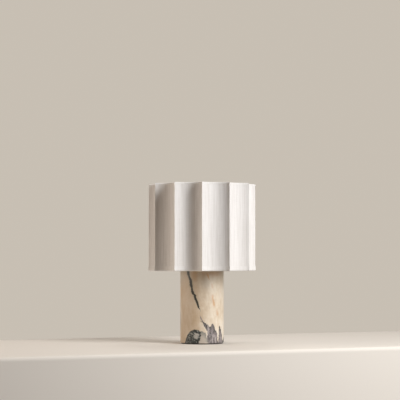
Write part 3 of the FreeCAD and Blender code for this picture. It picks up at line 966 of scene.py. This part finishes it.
# Linen: one strip, about 1.06 m by 0.24 m, woven from uneven off-white yarn. It is laminated to
# the liner and creased into sharp ridges; its slubs run up the shade.
YARN = 0.55 * MM
FINE_YARNS = 1500  # cells a metre, as are the slubs
SLUBS_UP = 7
FINE_SLUBS_UP = 30
WEFT_SLUBS_ALONG = 40
YARN_WANDER = 4
SLUB_SHARE = 0.55
FINE_SLUB_SHARE = 0.25
WEFT_SHARE = 0.2
WEAVE_RELIEF = 0.5
SLUB_RELIEF = 0.8
FINE_SLUB_RELIEF = 0.5
RELIEF_DEPTH = 0.12 * MM
CLOTH_TONES = (0.38, 0.5, 0.62)
LINEN_COLOURS = ((0.70, 0.672, 0.642), (0.79, 0.765, 0.742), (0.85, 0.83, 0.812))


def woven(name, slubs_along, colours):
    """Slubbed linen: uneven yarns up the shade and finer ones across, in colour and in relief."""
    cloth = Finish(name, Roughness=0.92, Sheen_Weight=0.15, Specular_IOR_Level=0.2)
    along, rise, _ = cloth.parts(cloth.node("ShaderNodeUVMap", {"uv_map": "cloth"}))
    slubs = cloth.stretched(
        along * slubs_along, rise * SLUBS_UP, pattern=0.0, detail=3, roughness=0.6
    )
    fine_slubs = cloth.stretched(
        along * FINE_YARNS, rise * FINE_SLUBS_UP, pattern=5.0, detail=2, roughness=0.6
    )
    weft = cloth.stretched(
        along * WEFT_SLUBS_ALONG, rise * FINE_YARNS, pattern=9.0, detail=2, roughness=0.6
    )
    warp_wave = cloth.maths("SINE", along * (2 * math.pi / YARN) + fine_slubs * YARN_WANDER)
    weft_wave = cloth.maths("SINE", rise * (2 * math.pi / YARN) + weft * YARN_WANDER)
    weave = warp_wave * weft_wave * 0.5 + 0.5
    tone = slubs * SLUB_SHARE + fine_slubs * FINE_SLUB_SHARE + weft * WEFT_SHARE
    cloth.feed("Base Color", cloth.ramp(tone, *zip(CLOTH_TONES, colours)))
    relief = weave * WEAVE_RELIEF + slubs * SLUB_RELIEF + fine_slubs * FINE_SLUB_RELIEF
    cloth.bump(relief, RELIEF_DEPTH)
    return cloth


linen = woven("slub_linen", slubs_along=260, colours=LINEN_COLOURS)
linen_mesh = fluted("linen", sheet_profile(0.0, LINEN), linen, PUCKER)
linen_piece = shown(linen_mesh, "linen_cover", linen, "shade", "linen", "shade_cover")

# Edge strips: the same linen, folded over each wire and glued, 13 mm high outside at the bottom and
# 5.5 mm at the top. Their folds are the shade's rolled rims.
BINDING = 0.35 * MM
BOTTOM_STRIP = 13.0 * MM
TOP_STRIP = 5.5 * MM
STRIP_INSIDE = 4.3 * MM
STRIP_GAP = 0.01 * MM
FOLD_STEPS = 12
LEG_ROWS = (1.0, 0.8, 0.6, 0.4)
TAPE_COLOURS = ((0.735, 0.707, 0.677), (0.81, 0.787, 0.764), (0.86, 0.841, 0.822))
fold_inside = WIRE_INSET + WIRE / 2 + SLACK
fold_radius = fold_inside / 2


def fold_profile(edge_z, way, outer_leg):
    """A strip folded round a wire: way is 1 when its legs point up and -1 when they point down."""
    centre = (fold_radius, edge_z + way * (fold_radius + BINDING))
    outside = around(centre, fold_radius + BINDING, 180, 180 + way * 180, FOLD_STEPS)
    inside = around(centre, fold_radius, 180 + way * 180, 180, FOLD_STEPS)
    legs_out = [(-BINDING, edge_z + way * outer_leg * share) for share in LEG_ROWS]
    if outer_leg * LEG_ROWS[-1] < fold_radius + 2 * BINDING:
        legs_out = legs_out[:1]
    leg_end = edge_z + way * STRIP_INSIDE
    leg_in = [(fold_inside + BINDING, leg_end), (fold_inside, leg_end)]
    legs_back = [(-STRIP_GAP, z) for _, z in reversed(legs_out)]
    return legs_out + outside + leg_in + inside + legs_back


tape = woven("linen_tape", slubs_along=420, colours=TAPE_COLOURS)
strip_edges = (
    ("shade_bottom_binding", shade_bottom, 1, BOTTOM_STRIP),
    ("shade_top_binding", shade_top, -1, TOP_STRIP),
)
for node, edge_z, way, leg in strip_edges:
    strip_mesh = fluted(node + "_folded", fold_profile(edge_z, way, leg), tape, sharp=50)
    shown(strip_mesh, node + "_folded", tape, "shade", "linen_binding", node)

# Bulb: an opal glass globe with a neck, cemented into a nickel-plated screw cap with a rolled
# thread, a black glass insulator and a blob of solder as its tip.
GLASS_WALL = 0.8 * MM
BULB_NECK = 12.6 * MM
FLARE = 35
FLARE_STEPS = 10
BALL_STEPS = 40
CAP_WALL = 0.25 * MM
CAP_FOOT = 11.2 * MM
CAP_FOOT_WALL = 0.6 * MM
CAP_SHOULDER = 2 * MM
CAP_SHOULDER_WALL = 0.5 * MM
CAP_COLLAR = 5 * MM
CAP_BORE_STEP = 1.1 * MM
opal = Finish("opal_glass", Roughness=0.12, Coat_Weight=0.5, Coat_Roughness=0.05)
milk = opal.grain(scale=24)
opal.tint(milk, (0.84, 0.835, 0.81), (0.88, 0.875, 0.86))
glass_low, glass_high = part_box("bulb_glass")
ball_radius = glass_high.x
ball_centre = (0, glass_high.z - ball_radius)


def envelope(inset):
    """One face of the glass from its foot up: a straight neck, a flare and a ball."""
    neck = BULB_NECK - inset
    ball = around(ball_centre, ball_radius - inset, -FLARE, 90, BALL_STEPS)
    flare_radius = (ball[0][0] - neck) / (1 - math.cos(math.radians(FLARE)))
    flare_z = ball[0][1] - flare_radius * math.sin(math.radians(FLARE))
    flare_centre = (neck + flare_radius, flare_z)
    flare_arc = around(flare_centre, flare_radius, 180, 180 - FLARE, FLARE_STEPS)
    return [(neck, glass_low.z), *flare_arc[:-1], *ball]


glass_mesh = turned("glass", [*envelope(0), *reversed(envelope(GLASS_WALL))])
shown(glass_mesh, "bulb_glass_blown", opal, "bulb", "opal_glass", "bulb_glass")
nickel = Finish("nickel_plate", Metallic=1.0)
plating = nickel.grain(scale=300, detail=3, roughness=0.6)
nickel.tint(plating, (0.66, 0.63, 0.57), (0.78, 0.76, 0.71))
nickel.feed("Roughness", 0.2 + plating * 0.15)
low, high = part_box("bulb_screw_cap")
cap_shoulder = low.z + CAP_SHOULDER
cap_outline = [
    (0, low.z),
    (CAP_FOOT, low.z),
    *thread_rows(high.x, cap_shoulder, high.z - CAP_COLLAR, BULB_PITCH, BULB_THREAD_DEPTH),
    (high.x, high.z),
    (high.x - CAP_WALL, high.z),
    (high.x - CAP_WALL, high.z - CAP_COLLAR + MM),
    (high.x - CAP_BORE_STEP, high.z - CAP_COLLAR - MM),
    (high.x - CAP_BORE_STEP, cap_shoulder + CAP_SHOULDER_WALL),
    (0, low.z + CAP_FOOT_WALL),
]
screw_mesh = turned("screw_cap", cap_outline, BULB_PITCH, sharp=50)
shown(screw_mesh, "bulb_screw_cap_threaded", nickel, "bulb", "bulb_cap_metal", "bulb_screw_cap")
vitrite = Finish("black_glass", Roughness=0.08)
swirl = vitrite.grain(scale=300)
vitrite.tint(swirl, (0.010, 0.010, 0.012), (0.030, 0.028, 0.032))
dress(vitrite, "bulb_cap_insulator")
solder = Finish("solder", Metallic=1.0)
frosting = solder.grain(scale=900, detail=3, roughness=0.6)
solder.tint(frosting, (0.42, 0.42, 0.42), (0.62, 0.62, 0.61))
solder.feed("Roughness", 0.3 + frosting * 0.3)
dress(solder, "bulb_tip_contact")

# Studio: a pale slab with a rounded front edge, set a little askew, before a pale backdrop. A soft
# white light stands at the right, a wide warm one at the left and a third above and behind, all in
# a dim warm room.
FLOOR_BACK = 0.408
FLOOR_FRONT = -0.384
FLOOR_SLANT = 0.445
FLOOR_SIDE = 0.9
FLOOR_THICKNESS = 1.2
FLOOR_EDGE = 10 * MM
FLOOR_COLOUR = (0.78, 0.73, 0.665)
BACKDROP = (0.575, 0.522, 0.452)
WARM = (1.0, 0.70, 0.47)
ROOM_STRENGTH = 0.06
LIGHT_DISTANCE = 2.5
LIGHT_AIM = Vector((0, 0, 0.3))
LIGHTS = (  # name, azimuth, elevation, width, height, power, colour
    ("key", 49.5, 22.0, 0.8, 1.9, 69.5, (1, 1, 1)),
    ("wall_glow", -84.0, 10.0, 2.2, 2.2, 30.0, (1, 0.87, 0.755)),
    ("ceiling_glow", 180.0, 74.0, 1.6, 1.6, 26.0, (1, 0.985, 0.97)),
)
slab = bmesh.new()
bmesh.ops.create_cube(slab, size=1.0)
for corner in slab.verts:
    corner.co.x = math.copysign(FLOOR_SIDE, corner.co.x)
    corner.co.y = (FLOOR_BACK if corner.co.y > 0 else FLOOR_FRONT) + FLOOR_SLANT * corner.co.x
    corner.co.z = 0.0 if corner.co.z > 0 else -FLOOR_THICKNESS
front_edge = [
    edge
    for edge in slab.edges
    if all(end.co.z == 0.0 and end.co.y < FLOOR_SLANT * end.co.x for end in edge.verts)
]
bmesh.ops.bevel(slab, geom=front_edge, offset=FLOOR_EDGE, segments=6, profile=0.5, affect="EDGES")
floor_mesh = bpy.data.meshes.new("floor")
slab.to_mesh(floor_mesh)
slab.free()
coat(floor_mesh, Finish("floor", Roughness=0.8, Base_Color=FLOOR_COLOUR))
floor = put("floor", floor_mesh)


def soft_light(name, azimuth, elevation, width, height, power, colour):
    """An oval area light aimed at the lamp; azimuth 0 is at the camera and 90 at the right."""
    light = bpy.data.lights.new(name, "AREA")
    light.shape = "ELLIPSE"
    light.size = width
    light.size_y = height
    light.energy = power
    light.color = colour
    turn = math.radians(azimuth)
    rise = math.radians(elevation)
    level = math.cos(rise)
    way = Vector((math.sin(turn) * level, -math.cos(turn) * level, math.sin(rise)))
    stand = put(name, light)
    stand.location = LIGHT_AIM + way * LIGHT_DISTANCE
    stand.rotation_euler = way.to_track_quat("Z", "Y").to_euler()


for settings in LIGHTS:
    soft_light(*settings)

# The backdrop shows to the camera, in gloss and through glass; other rays meet the dim room.
world = bpy.data.worlds.new("world")
world.use_nodes = True
bpy.context.scene.world = world
sky = Graph(world.node_tree)
room = world.node_tree.nodes["Background"]
sky.fill(room.inputs["Color"], WARM)
sky.fill(room.inputs["Strength"], ROOM_STRENGTH)
backdrop = sky.node("ShaderNodeBackground", None, {"Color": BACKDROP, "Strength": 1.0})
rays = sky.node("ShaderNodeLightPath").socket.node.outputs
shows = Term(sky, rays["Is Camera Ray"])
for kind in ("Is Glossy Ray", "Is Transmission Ray"):
    shows = sky.maths("MAXIMUM", shows, Term(sky, rays[kind]))
sky_sockets = {0: shows, 1: Term(sky, room.outputs[0]), 2: backdrop}
both = sky.node("ShaderNodeMixShader", None, sky_sockets)
sky.fill(world.node_tree.nodes["World Output"].inputs["Surface"], both)
bpy.context.scene.view_settings.view_transform = "Standard"
